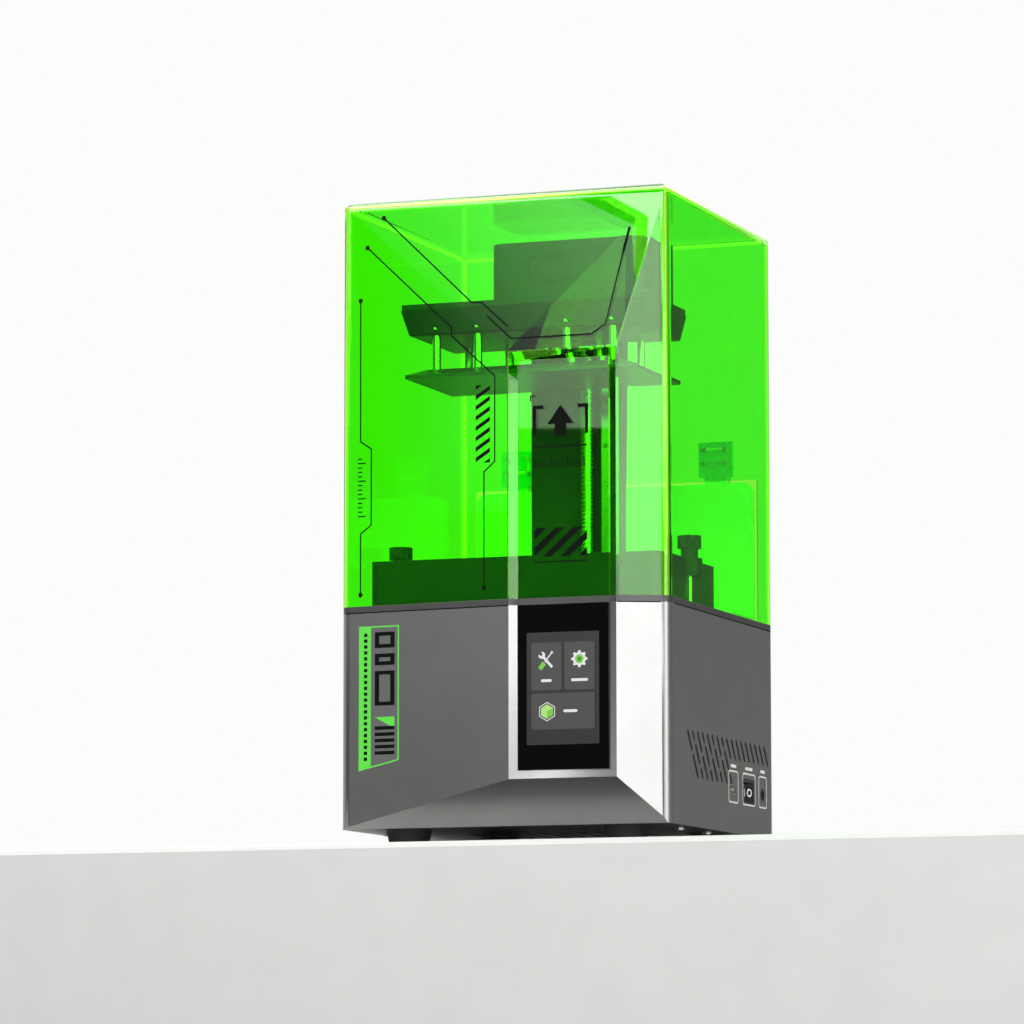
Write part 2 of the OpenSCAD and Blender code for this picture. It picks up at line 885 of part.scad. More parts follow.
module hinge_brackets() {
    gap = arm_w / 2 + 0.5;
    color("darkgray")
    for (x = [-hinge_mid, hinge_mid])
        difference() {
            union() {
                knuckle(x - knuckle_half, x - gap);
                knuckle(x + gap, x + knuckle_half);
                box([x - knuckle_half, upright_y[1], hinge_z - 60],
                    [x + knuckle_half, upright_y[1] + 4, hinge_z - 12]);
            }
            rod_x([-200, hinge_y, hinge_z], pin_r, 400);
        }
}

module hinge_pins() {
    color("silver")
    for (x = [-hinge_mid, hinge_mid])
        rod_x([x - knuckle_half, hinge_y, hinge_z], pin_r, 2 * knuckle_half);
}

module lid_screw_rods(r, y, len) {
    for (x = [-hinge_mid, hinge_mid], p = lid_screw_xz)
        rod_y([x + p[0], y, p[1]], r, len);
}

module lid_shell() {
    color("lime", 0.5)
    difference() {
        body_shell(lid_wall, deck_z + eps, total_h);
        box([-lid_gap_w / 2, 100, 100], [lid_gap_w / 2, 200, lid_gap_top]);
        lid_screw_rods(shank_hole_r, half_d - 10, 20);
    }
}

module lid_hinge_arms() {
    color("darkgray")
    for (x = [-hinge_mid, hinge_mid])
        difference() {
            union() {
                rod_x([x - arm_w / 2, hinge_y, hinge_z], 8.5, arm_w);
                box([x - arm_w / 2, half_d, hinge_z], [x + arm_w / 2, hinge_y + 2, 282]);
                box([x - lid_plate[0], half_d, lid_plate[1]],
                    [x + lid_plate[0], half_d + 3, lid_plate[2]]);
            }
            rod_x([-200, hinge_y, hinge_z], pin_r + fit, 400);
            lid_screw_rods(shank_hole_r, half_d - 10, 20);
        }
}

module lid_screws() {
    color("silver")
    for (x = [-hinge_mid, hinge_mid], p = lid_screw_xz)
        translate([x + p[0], half_d + 3, p[1]])
            rotate([-90, 0, 0]) screw(3, 1.8, 6);
}

base_housing();
bottom_plate();
rubber_feet();
housing_screws();
deck_plate();
top_trim();
lcd_bezel();
lcd_panel();
light_box();
lens_array();
led_board();
led_heatsink();
mainboard();
board_standoffs();
touch_glass();
display_module();
display_bracket();
usb_port();
dc_jack();
switch_body();
power_rocker();
fan_frame();
fan_rotor();
z_motor();
motor_standoffs();
tower_foot();
z_column();
column_cover();
linear_rail();
rail_screws();
top_bearing();
limit_sensor();
head_cover();
lead_screw();
shaft_coupler();
lead_nut();
rail_carriage();
arm_bracket();
arm_screws();
limit_flag();
platform_block();
platform_cover();
release_lever();
float_posts();
float_springs();
build_plate();
vat_body();
vat_film();
film_frame();
film_screws();
vat_studs();
knob_left();
knob_right();
rear_upright();
hinge_brackets();
hinge_pins();
lid_shell();
lid_hinge_arms();
lid_screws();
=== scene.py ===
"""Looks of a desktop resin printer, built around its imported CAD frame.

Sizes are in millimetres until MM turns them into metres. +Z is up and the touch screen faces -Y.
The sections are: camera and stage, materials, mesh helpers, the tinted cover with its prints, the
label, the touch screen, the ports and the rocker, the lead screw and the springs, and the head. The
last section softens the other nodes' edges and runs everything.
"""
import json
import math

import bmesh
import bpy
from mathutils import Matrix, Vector


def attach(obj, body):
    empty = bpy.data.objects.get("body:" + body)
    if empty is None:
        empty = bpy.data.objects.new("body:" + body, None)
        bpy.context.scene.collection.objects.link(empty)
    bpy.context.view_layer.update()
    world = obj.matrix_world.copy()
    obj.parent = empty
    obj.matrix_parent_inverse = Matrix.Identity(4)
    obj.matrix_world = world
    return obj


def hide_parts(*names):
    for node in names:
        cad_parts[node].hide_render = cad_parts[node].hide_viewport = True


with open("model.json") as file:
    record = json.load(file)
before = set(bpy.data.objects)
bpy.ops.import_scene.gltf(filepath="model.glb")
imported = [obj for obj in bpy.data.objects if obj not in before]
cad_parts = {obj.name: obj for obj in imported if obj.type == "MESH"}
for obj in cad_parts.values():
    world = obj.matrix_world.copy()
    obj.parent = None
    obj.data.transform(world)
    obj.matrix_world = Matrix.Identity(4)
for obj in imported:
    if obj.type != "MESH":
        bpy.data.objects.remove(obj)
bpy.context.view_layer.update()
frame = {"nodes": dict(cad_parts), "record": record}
NODES = frame["nodes"]
SLOTS = {part["node"]: part["material_slot"] for part in frame["record"]["subparts"]}
BODIES = {node: body for body, nodes in frame["record"]["behaviour"]["bodies"].items()
          for node in nodes}
MM = 0.001

# ---- sizes shared with the CAD ----
HALF_W, HALF_D = 121.0, 118.0
NOSE = 16.0
RIDGE_X = (10.0, 88.0)
RIDGE_Z = (42.0, 336.0)
FOOT_H, TOTAL_H = 11.0, 451.0
CORNER_R = 9.0
CHANNEL_DEPTH = 2.5
GLASS_STEP = 1.2                      # the screen's glass stands this far out of the channel
CHANNEL_Y = -HALF_D - NOSE + CHANNEL_DEPTH
GLASS_Y = CHANNEL_Y - GLASS_STEP
THREAD_LEAD, THREAD_ROOT, THREAD_CREST = 3.0, 3.8, 5.0
SCREW_XY = (10.0, 28.0)
SCREW_Z = (148.0, 402.0)
POSTS = [(x, y) for x in (-66, -35, 35, 66) for y in (-73, -10)]
SPRING_Z = (366.1, 373.8)             # short enough to stay clear when the plate floats up
PORT_Z = (32.0, 55.0)
PORT_MID_Z = 41.5
SWITCH_Y = 56.5
HEAD_FRONT_Y = 17.0
PRINT_LIFT = 0.06                     # printed ink stands this far off a surface
LINE_LIFT = 0.05                      # and a seam's dark line this far


# ---- camera and stage ----
CAMERA_AT = (1195.0, -3321.0, -182.0)
CAMERA_TURN = (96.83, 0.04, 20.36)    # degrees
CAMERA_LENS = 175.6
TABLE_EDGE_Y = -152.0
TABLE_HALF_W = 1500.0
TABLE_BACK_Y = 1400.0
TABLE_DEPTH = 620.0
TABLE_BEVEL = 4.0
FILM_WIDTH = 36.0
CLIP_END = 60.0                       # metres


def make_camera():
    data = bpy.data.cameras.new("camera")
    data.lens = CAMERA_LENS
    data.sensor_width = FILM_WIDTH
    data.clip_end = CLIP_END
    cam = bpy.data.objects.new("camera", data)
    cam.location = [v * MM for v in CAMERA_AT]
    cam.rotation_euler = [math.radians(v) for v in CAMERA_TURN]
    bpy.context.collection.objects.link(cam)
    bpy.context.scene.camera = cam


def aimed(at, aim):
    """The turn that points a lamp's -Z from one place at another."""
    return (Vector(aim) - Vector(at)).to_track_quat("-Z", "Y").to_euler()


def set_range(node, span, levels):
    """Sets a Map Range node to go from levels[0] at span[0] to levels[1] at span[1]."""
    node.inputs["From Min"].default_value = span[0]
    node.inputs["From Max"].default_value = span[1]
    node.inputs["To Min"].default_value = levels[0]
    node.inputs["To Max"].default_value = levels[1]


def make_light(name, at, aim, size, power):
    data = bpy.data.lights.new(name, "AREA")
    data.shape = "RECTANGLE"
    data.size, data.size_y = size
    data.energy = power
    lamp = bpy.data.objects.new(name, data)
    lamp.location = at
    lamp.rotation_euler = aimed(at, aim)
    lamp.visible_camera = False
    bpy.context.collection.objects.link(lamp)


def make_card(name, at, aim, size, strength, fade):
    """A softbox seen only in reflections and by its light.

    fade is the share of the strength at its left edge, and how far across (-1 to 1) it is full.
    """
    w, h = size[0] / 2, size[1] / 2
    mesh = bpy.data.meshes.new(name)
    mesh.from_pydata([(-w, -h, 0), (w, -h, 0), (w, h, 0), (-w, h, 0)], [], [(0, 1, 2, 3)])
    t = Tree(name)
    lamp = t.add("Emission")
    lamp.inputs["Color"].default_value = (1, 1, 1, 1)
    coord = t.add("TexCoord")
    split = t.add("SeparateXYZ")
    ramp = t.add("MapRange")
    ramp.interpolation_type = "SMOOTHSTEP"
    set_range(ramp, (-w, w * fade[1]), (strength * fade[0], strength))
    t.link(coord.outputs["Object"], split.inputs[0])
    t.link(split.outputs["X"], ramp.inputs["Value"])
    t.link(ramp.outputs[0], lamp.inputs["Strength"])
    mesh.materials.append(t.finish(lamp.outputs[0]))
    card = bpy.data.objects.new(name, mesh)
    card.location = at
    card.rotation_euler = aimed(at, aim)
    card.visible_camera = False
    bpy.context.collection.objects.link(card)


BODY_MID = (0, -0.13, 0.05)            # metres, as all places of lamps and cards
SCREEN_MID = (0.07, -0.12, 0.22)
ROOF_MID = (0, -0.13, 0.4)
LAMP_AIM = (0, 0, 0.2)


def make_lights():
    # the facet beside the screen and the channel's left bevel mirror card_right, the right walls
    # are lit by card_side, the channel's lower bevel mirrors card_high, and the cover's sloping
    # front mirrors card_roof
    make_card("card_right", (1.25, -2.42, 0.6), SCREEN_MID, (1.45, 2.3), 5.4, (0.9, 0.0))
    make_card("card_side", (2.45, -0.85, 0.45), SCREEN_MID, (1.2, 1.6), 5.0, (0.9, 0.0))
    make_card("card_high", (-0.83, -1.72, 1.78), BODY_MID, (1.3, 1.0), 11.0, (0.8, 0.0))
    make_card("card_roof", (-0.75, -2.5, 1.05), ROOF_MID, (1.9, 0.85), 4.6, (0.0, 0.7))
    make_light("softbox_top", (-0.65, 0.1, 2.2), LAMP_AIM, (1.5, 1.3), 40)
    make_light("softbox_left", (-2.2, -1.2, 1.9), LAMP_AIM, (1.0, 1.0), 26)


WORLD_RGB = (0.97, 0.98, 0.97)
# per axis of the direction looked in: where the brightness changes, and from what to what
WORLD_RAMPS = {
    "Y": ((-0.55, 0.5), (0.085, 1.0)),
    "X": ((-0.15, 0.3), (1.0, 0.22)),
    "Z": ((-0.45, 0.0), (0.45, 1.0)),
}


def make_world():
    """A pale backdrop that is darker behind the camera, to the right and below."""
    world = bpy.data.worlds.new("studio")
    bpy.context.scene.world = world
    world.use_nodes = True
    tree = world.node_tree
    tree.nodes.clear()
    out = tree.nodes.new("ShaderNodeOutputWorld")
    sky = tree.nodes.new("ShaderNodeBackground")
    coord = tree.nodes.new("ShaderNodeTexCoord")
    split = tree.nodes.new("ShaderNodeSeparateXYZ")
    tree.links.new(coord.outputs["Generated"], split.inputs[0])
    level = None
    for axis, (span, levels) in WORLD_RAMPS.items():
        ramp = tree.nodes.new("ShaderNodeMapRange")
        ramp.interpolation_type = "SMOOTHSTEP"
        set_range(ramp, span, levels)
        tree.links.new(split.outputs[axis], ramp.inputs["Value"])
        level = product(tree, level, ramp.outputs[0])
    sky.inputs["Color"].default_value = (*WORLD_RGB, 1)
    tree.links.new(level, sky.inputs["Strength"])
    tree.links.new(sky.outputs[0], out.inputs[0])


def product(tree, a, b):
    """The product of two values, or the second alone when there is no first."""
    if a is None:
        return b
    times = tree.nodes.new("ShaderNodeMath")
    times.operation = "MULTIPLY"
    tree.links.new(a, times.inputs[0])
    tree.links.new(b, times.inputs[1])
    return times.outputs[0]


# ---- material helpers ----
NOISE_SPAN = (0.3, 0.7)               # where most of a noise texture's values lie
class Tree:
    """A small wrapper that adds nodes and links to one material."""

    def __init__(self, name):
        self.mat = bpy.data.materials.new(name)
        self.mat.use_nodes = True
        self.tree = self.mat.node_tree
        self.tree.nodes.clear()
        self.out = self.add("OutputMaterial")

    def add(self, kind, **inputs):
        node = self.tree.nodes.new("ShaderNode" + kind)
        for key, value in inputs.items():
            node.inputs[key.replace("_", " ")].default_value = value
        return node

    def link(self, a, b):
        self.tree.links.new(a, b)

    def noise(self, scale, detail=2.0, stretch=(1, 1, 1)):
        coord = self.add("TexCoord")
        mapping = self.add("Mapping")
        mapping.inputs["Scale"].default_value = stretch
        tex = self.add("TexNoise", Scale=scale, Detail=detail)
        self.link(coord.outputs["Object"], mapping.inputs["Vector"])
        self.link(mapping.outputs[0], tex.inputs["Vector"])
        return tex.outputs["Fac"]

    def spread(self, value, low, high):
        """Maps a noise value onto the range low..high."""
        node = self.add("MapRange")
        set_range(node, NOISE_SPAN, (low, high))
        self.link(value, node.inputs["Value"])
        return node.outputs[0]

    def blend(self, fac, a, b):
        node = self.add("Mix")
        node.data_type = "RGBA"
        # the Mix node's colour sockets share their names with its other kinds' sockets
        node.inputs[6].default_value = (*a, 1)
        node.inputs[7].default_value = (*b, 1)
        self.link(fac, node.inputs[0])
        return node.outputs[2]

    def bump(self, height, strength, distance=0.0002):
        node = self.add("Bump", Strength=strength, Distance=distance)
        self.link(height, node.inputs["Height"])
        return node.outputs[0]

    def finish(self, shader):
        self.link(shader, self.out.inputs["Surface"])
        return self.mat


def shaded(rgb, factor):
    return tuple(min(1.0, c * factor) for c in rgb)


CLOUD_SCALE = 28.0


def solid(name, rgb, rough, metallic, grain, bump, tone, spread, stretch=(1, 1, 1), specular=0.5):
    """Paint, metal, rubber or moulded plastic with fine grain and a slow change of tone."""
    t = Tree(name)
    shader = t.add("BsdfPrincipled", Metallic=metallic)
    shader.inputs["Specular IOR Level"].default_value = specular
    cloudy = t.noise(CLOUD_SCALE, 3.0)
    fine = t.noise(grain, 3.0, stretch)
    colour = t.blend(t.spread(cloudy, 0.0, 1.0), shaded(rgb, 1 - tone), shaded(rgb, 1 + tone))
    t.link(colour, shader.inputs["Base Color"])
    t.link(t.spread(fine, rough - spread, rough + spread), shader.inputs["Roughness"])
    t.link(t.bump(fine, bump), shader.inputs["Normal"])
    return t.finish(shader.outputs[0])


DISPLAY_RGB = (0.01, 0.01, 0.01)
DISPLAY_ROUGH = 0.3
PIXEL_SCALE = 9000.0
GLOW_DIP = 0.94                       # the dimmest pixel's share of the brightest


def glow(name, rgb, strength):
    """A lit patch of a display."""
    t = Tree(name)
    shader = t.add("BsdfPrincipled", Roughness=DISPLAY_ROUGH)
    shader.inputs["Base Color"].default_value = (*DISPLAY_RGB, 1)
    shader.inputs["Emission Strength"].default_value = strength
    pixels = t.noise(PIXEL_SCALE, 0.0)
    colour = t.blend(t.spread(pixels, 0.0, 1.0), shaded(rgb, GLOW_DIP), rgb)
    t.link(colour, shader.inputs["Emission Color"])
    return t.finish(shader.outputs[0])


ACRYLIC_RGB = (0.22, 0.995, 0.03)     # tint of one surface, two surfaces to a wall
# the cover's rims are painted lighter: a paler tint than the walls, and a painted glow
RIM_RGB = (0.55, 0.97, 0.08)
RIM_PAINTED_GLOW = (0.34, 0.80, 0.01)         # painted glow, standing for the light that the sheet carries to its rims
SIDE_IOR = 1.15                       # low, as the side walls mirror little of the backdrop
TINT_SCALE, TINT_DIP = 9.0, 0.985


def acrylic(name, rgb, emission=None, emission_strength=0.0, rough=0.015, ior=1.45):
    """Tinted clear plastic that lets lamps through in its own colour, and may carry a painted glow."""
    t = Tree(name)
    glass = t.add("BsdfPrincipled", Metallic=0.0, Roughness=rough, IOR=ior)
    glass.inputs["Transmission Weight"].default_value = 1.0
    cloudy = t.noise(TINT_SCALE, 1.0)
    colour = t.blend(t.spread(cloudy, 0.0, 1.0), shaded(rgb, TINT_DIP), rgb)
    t.link(colour, glass.inputs["Base Color"])
    if emission:
        glass.inputs["Emission Color"].default_value = (*emission, 1)
        glass.inputs["Emission Strength"].default_value = emission_strength
    clear = t.add("BsdfTransparent")
    clear.inputs["Color"].default_value = (*rgb, 1)
    path = t.add("LightPath")
    mix = t.add("MixShader")
    t.link(path.outputs["Is Shadow Ray"], mix.inputs[0])
    t.link(glass.outputs[0], mix.inputs[1])
    t.link(clear.outputs[0], mix.inputs[2])
    return t.finish(mix.outputs[0])


def circuit(name):
    """Green solder mask with a faint pattern of tracks."""
    t = Tree(name)
    shader = t.add("BsdfPrincipled", Roughness=0.35)
    coord = t.add("TexCoord")
    brick = t.add("TexBrick", Scale=60.0)
    brick.inputs["Color1"].default_value = (0.01, 0.10, 0.04, 1)
    brick.inputs["Color2"].default_value = (0.012, 0.13, 0.05, 1)
    brick.inputs["Mortar"].default_value = (0.05, 0.24, 0.08, 1)
    t.link(coord.outputs["Object"], brick.inputs["Vector"])
    t.link(brick.outputs["Color"], shader.inputs["Base Color"])
    t.link(t.bump(brick.outputs["Fac"], 0.2), shader.inputs["Normal"])
    return t.finish(shader.outputs[0])


# name: colour, roughness, metallic, grain scale, bump, change of tone, change of roughness
SOLIDS = {
    "base_metal": ((0.27, 0.27, 0.265), 0.33, 0.9, 2200, 0.06, 0.03, 0.04),
    "white_metal": ((0.75, 0.76, 0.75), 0.42, 0, 2400, 0.1, 0.02, 0.05),
    # trim_grey is the trim's dark grey, darkened further as painted shade along the seam between the
    # cover and the base
    "trim_grey": ((0.06, 0.06, 0.06), 0.42, 0.5, 2200, 0.06, 0.04, 0.04),
    "black_glass": ((0.002, 0.002, 0.0022), 0.08, 0, 300, 0.01, 0.1, 0.02),
    "rubber": ((0.012, 0.012, 0.012), 0.78, 0, 1500, 0.5, 0.15, 0.1),
    "black_metal": ((0.022, 0.024, 0.022), 0.42, 0.35, 2600, 0.12, 0.1, 0.06),
    "dark_grey_metal": ((0.06, 0.063, 0.06), 0.40, 0.6, 2400, 0.1, 0.08, 0.06),
    "bright_steel": ((0.62, 0.62, 0.61), 0.2, 1.0, 800, 0.05, 0.04, 0.06),
    "zinc_steel": ((0.5, 0.5, 0.48), 0.34, 1.0, 600, 0.08, 0.1, 0.08),
    "aluminium": ((0.6, 0.6, 0.6), 0.36, 0.9, 1200, 0.1, 0.06, 0.08),
    "brass": ((0.62, 0.44, 0.16), 0.28, 1.0, 900, 0.06, 0.08, 0.08),
    "black_plastic": ((0.016, 0.016, 0.017), 0.45, 0, 2600, 0.35, 0.12, 0.06),
    "gloss_black_plastic": ((0.01, 0.01, 0.01), 0.16, 0, 900, 0.03, 0.1, 0.03),
    "white_plastic": ((0.78, 0.78, 0.76), 0.4, 0, 1500, 0.1, 0.02, 0.05),
    "mask_glass": ((0.012, 0.015, 0.022), 0.09, 0, 500, 0.02, 0.1, 0.03),
    "print_black": ((0.002, 0.003, 0.002), 0.6, 0, 2600, 0.1, 0.1, 0.05),
    "print_white": ((0.75, 0.75, 0.74), 0.5, 0, 2600, 0.1, 0.03, 0.05),
    "print_green": ((0.075, 0.52, 0.04), 0.42, 0, 2600, 0.08, 0.04, 0.05),
    "print_grey": ((0.11, 0.11, 0.11), 0.4, 0.3, 2600, 0.08, 0.05, 0.05),
}
# a brushed grain, or a duller gloss, for some of them
SOLID_EXTRAS = {
    "black_glass": {"specular": 0.18},
    "bright_steel": {"stretch": (1, 1, 0.05)},
    "aluminium": {"stretch": (0.1, 1, 1)},
    "print_black": {"specular": 0.05},
}
# name: colour, strength
GLOWS = {
    "screen_off": ((0.011, 0.011, 0.012), 1.0),
    "screen_tile": ((0.055, 0.055, 0.057), 1.0),
    "icon_white": ((0.85, 0.86, 0.86), 0.9),
    "icon_green": ((0.22, 0.62, 0.06), 0.9),
    "icon_pale_green": ((0.45, 0.85, 0.22), 0.9),
    "icon_dark_green": ((0.03, 0.27, 0.03), 0.9),
}


def make_materials():
    mats = {name: solid(name, *look, **SOLID_EXTRAS.get(name, {})) for name, look in SOLIDS.items()}
    mats.update({name: glow(name, *look) for name, look in GLOWS.items()})
    mats["lid_acrylic"] = acrylic("lid_acrylic", ACRYLIC_RGB)
    mats["lid_side"] = acrylic("lid_side", ACRYLIC_RGB, ior=SIDE_IOR)
    # the cover's rims: a paler tint with a painted glow
    mats["lid_edge"] = acrylic("lid_edge", RIM_RGB, RIM_PAINTED_GLOW, 0.30, 0.12)
    mats["clear_plastic"] = acrylic("clear_plastic", (0.9, 0.94, 0.94), rough=0.05)
    mats["film"] = acrylic("film", (0.94, 0.95, 0.93), rough=0.08)
    mats["circuit_board"] = circuit("circuit_board")
    return mats


# ---- mesh helpers ----
def new_piece(name, verts, faces, mats, body, replaces=(), face_mats=None):
    mesh = bpy.data.meshes.new(name)
    mesh.from_pydata([[c * MM for c in v] for v in verts], [], faces)
    for mat in mats:
        mesh.materials.append(mat)
    if face_mats:
        mesh.polygons.foreach_set("material_index", face_mats)
    obj = bpy.data.objects.new(name, mesh)
    bpy.context.collection.objects.link(obj)
    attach(obj, body)
    if replaces:
        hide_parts(*replaces)
    return obj


WELD_GAP = 0.004
FLAT_TURN = 1.0                       # degrees: faces that turn less are joined into one
SHARP_TURN = 20.0                     # degrees: edges that turn more are rounded


def smooth(obj, degrees=32, weighted=True):
    mesh = obj.data
    mesh.polygons.foreach_set("use_smooth", [True] * len(mesh.polygons))
    mesh.set_sharp_from_angle(angle=math.radians(degrees))
    if weighted:
        mod = obj.modifiers.new("weighted", "WEIGHTED_NORMAL")
        mod.keep_sharp = True


def cleaned(node):
    """A welded copy of a CAD node's mesh as a bmesh, with its flat faces joined."""
    bm = bmesh.new()
    bm.from_mesh(NODES[node].data)
    bmesh.ops.remove_doubles(bm, verts=bm.verts, dist=WELD_GAP * MM)
    bmesh.ops.dissolve_limit(bm, angle_limit=math.radians(FLAT_TURN), verts=bm.verts, edges=bm.edges,
                             delimit={"NORMAL"})
    bmesh.ops.recalc_face_normals(bm, faces=bm.faces)
    return bm


def long_edges(bm, least):
    """The edges over a length that turn sharply."""
    found = []
    for e in bm.edges:
        if len(e.link_faces) == 2 and e.calc_length() > least * MM:
            if e.calc_face_angle(0.0) > math.radians(SHARP_TURN):
                found.append(e)
    return found


def softened(node, width, least, mats=None, sort_faces=None):
    """A copy of a CAD node with its edges rounded, which stands for the node."""
    bm = cleaned(node)
    bmesh.ops.bevel(bm, geom=long_edges(bm, least), offset=width * MM, segments=2,
                    affect="EDGES", profile=0.6, clamp_overlap=True)
    if sort_faces:
        sort_faces(bm)
    mesh = bpy.data.meshes.new(node + "_soft")
    bm.to_mesh(mesh)
    bm.free()
    obj = bpy.data.objects.new(node + "_soft", mesh)
    bpy.context.collection.objects.link(obj)
    for mat in mats or [MATS[SLOTS[node]]]:
        mesh.materials.append(mat)
    smooth(obj)
    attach(obj, BODIES[node])
    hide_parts(node)
    return obj


# ---- the tinted cover ----
EDGE_AREA = 320.0                     # mm2: smaller faces of the cover are its sharp edges
ROUND_AREA = 1000.0                   # mm2: larger ones are its walls, the rest its rounded edges
FRONT_FACES, RIM_FACES, SIDE_FACES = 0, 1, 2


def mark_cover_edges(bm):
    """The narrow faces on each edge get the rim material with its paler tint and painted glow, standing
    for the light that the rim of tinted acrylic gathers.
    """
    for f in bm.faces:
        area = f.calc_area() / (MM * MM)
        middle = sum(0.6 < abs(c) < 0.82 for c in f.normal) == 2
        if area < EDGE_AREA or (area < ROUND_AREA and middle):
            f.material_index = RIM_FACES
        elif abs(f.normal.y) > 0.5 and f.calc_center_median().y < 0:
            f.material_index = FRONT_FACES
        else:
            f.material_index = SIDE_FACES


def make_cover():
    mats = [MATS["lid_acrylic"], MATS["lid_edge"], MATS["lid_side"]]
    softened("lid_shell", 1.0, 20.0, mats, mark_cover_edges)


def front_y(x, z):
    """The y of the body's faceted front at x, z."""
    rise = min((x + HALF_W) / (RIDGE_X[0] + HALF_W), (HALF_W - x) / (HALF_W - RIDGE_X[1]),
               (z - FOOT_H) / (RIDGE_Z[0] - FOOT_H), (TOTAL_H - z) / (TOTAL_H - RIDGE_Z[1]), 1.0)
    return -HALF_D - NOSE * rise


def on_front(x, z):
    return (x, front_y(x, z) - PRINT_LIFT, z)


CHANNEL_SHIFT = 1.5                   # puts the prints in the middle of the channel's floor


def on_channel(x, z):
    return (x + CHANNEL_SHIFT, CHANNEL_Y - PRINT_LIFT, z)


class Ink:
    """Collects flat printed shapes given in (across, up) and lays them on a surface."""

    def __init__(self, place):
        self.place = place
        self.verts = []
        self.faces = []

    def shape(self, points):
        start = len(self.verts)
        self.verts += [self.place(*p) for p in points]
        self.faces.append(tuple(range(start, start + len(points))))

    def bar(self, x0, z0, x1, z1):
        self.shape([(x0, z0), (x1, z0), (x1, z1), (x0, z1)])

    def line(self, points, width):
        """A polyline of even width with mitred joins."""
        sides = []
        for i, p in enumerate(points):
            before = direction(points[max(i - 1, 0)], points[max(i, 1)])
            last = len(points) - 1
            after = direction(points[min(i, last - 1)], points[min(i + 1, last)])
            mid = (before[0] + after[0], before[1] + after[1])
            norm = math.hypot(*mid)
            across = (-mid[1] / norm, mid[0] / norm)
            reach = width / 2 / max(0.3, across[0] * -before[1] + across[1] * before[0])
            sides.append([(p[0] + across[0] * reach, p[1] + across[1] * reach),
                          (p[0] - across[0] * reach, p[1] - across[1] * reach)])
        for a, b in zip(sides, sides[1:]):
            self.shape([a[0], a[1], b[1], b[0]])

    def disc(self, x, z, r, n=20):
        turns = [2 * math.pi * i / n for i in range(n)]
        self.shape([(x + r * math.cos(a), z + r * math.sin(a)) for a in turns])

    def ring(self, outer, inner):
        """Two loops of the same number of points, filled between."""
        n = len(outer)
        for i in range(n):
            j = (i + 1) % n
            self.shape([outer[i], outer[j], inner[j], inner[i]])

    def stripes(self, x0, z0, x1, z1, slope, pitch, share):
        """Slanted stripes clipped to a box. slope is the rise over its width, share the inked part."""
        z = z0 - abs(slope)
        while z < z1 + abs(slope):
            quad = [(x0, z), (x1, z + slope), (x1, z + slope + pitch * share), (x0, z + pitch * share)]
            quad = clipped(clipped(quad, z0, 1), z1, -1)
            if len(quad) > 2:
                self.shape(quad)
            z += pitch

    def make(self, name, mat, body, slot):
        return new_piece(name, self.verts, self.faces, [MATS[mat]], body)


def direction(a, b):
    length = math.hypot(b[0] - a[0], b[1] - a[1])
    return ((b[0] - a[0]) / length, (b[1] - a[1]) / length)


def clipped(points, level, side):
    """The part of a polygon above (side 1) or below (side -1) a level."""
    kept = []
    for a, b in zip(points, points[1:] + points[:1]):
        a_in = (a[1] - level) * side >= 0
        b_in = (b[1] - level) * side >= 0
        if a_in:
            kept.append(a)
        if a_in != b_in:
            t = (level - a[1]) / (b[1] - a[1])
            kept.append((a[0] + (b[0] - a[0]) * t, level))
    return kept


def rounded_rect(x0, z0, x1, z1, r, n=5):
    points = []
    corners = ((x1 - r, z1 - r, 0), (x0 + r, z1 - r, 90), (x0 + r, z0 + r, 180), (x1 - r, z0 + r, 270))
    for cx, cz, start in corners:
        for i in range(n + 1):
            a = math.radians(start + 90 * i / n)
            points.append((cx + r * math.cos(a), cz + r * math.sin(a)))
    return points


LINE_W = 1.0
ROOF_END_W = 2.0
DOT_R = 1.7
SIDE_LINE = [(-105.4, 380.4), (-105.2, 281), (-96.7, 275.4), (-96.7, 222), (-105, 216.2), (-105, 173.5)]
LONG_LINE = [(-100.1, 417.6), (-34.2, 356.5), (-34, 350.6), (-0.5, 320.3), (-0.5, 261), (-8.8, 254.1),
             (-8.8, 173.8)]
TOP_LINE = [(-88.2, 438.2), (-19, 373.1), (-11.7, 372.8), (8.5, 354.4)]
ROOF_LINE = [(-7.6, 363.1), (11.5, 345.7), (70.1, 345.8), (80.1, 352.3), (90.6, 402.4)]
ROOF_END = [(90.6, 402.4), (94.6, 420.3)]


def make_cover_prints():
    ink = Ink(on_front)
    for line in (SIDE_LINE, LONG_LINE, TOP_LINE, ROOF_LINE):
        ink.line(line, LINE_W)
    ink.line(ROOF_END, ROOF_END_W)
    for x, z in (SIDE_LINE[0], SIDE_LINE[-1], LONG_LINE[0], LONG_LINE[-1], TOP_LINE[0]):
        ink.disc(x, z, DOT_R)
    ink.stripes(-15.2, 260.5, -4.2, 314.5, 6.5, 7.2, 0.42)
    # measuring ticks stand where the real cover carries its name
    x, z, pitch, thick = -107.2, 228, 3.1, 0.9
    for i in range(14):
        length = 6.0 if i % 4 == 0 else 3.4
        ink.bar(x, z + i * pitch, x + length, z + i * pitch + thick)
    ink.make("cover_prints", "print_black", "lid", "lid_acrylic")


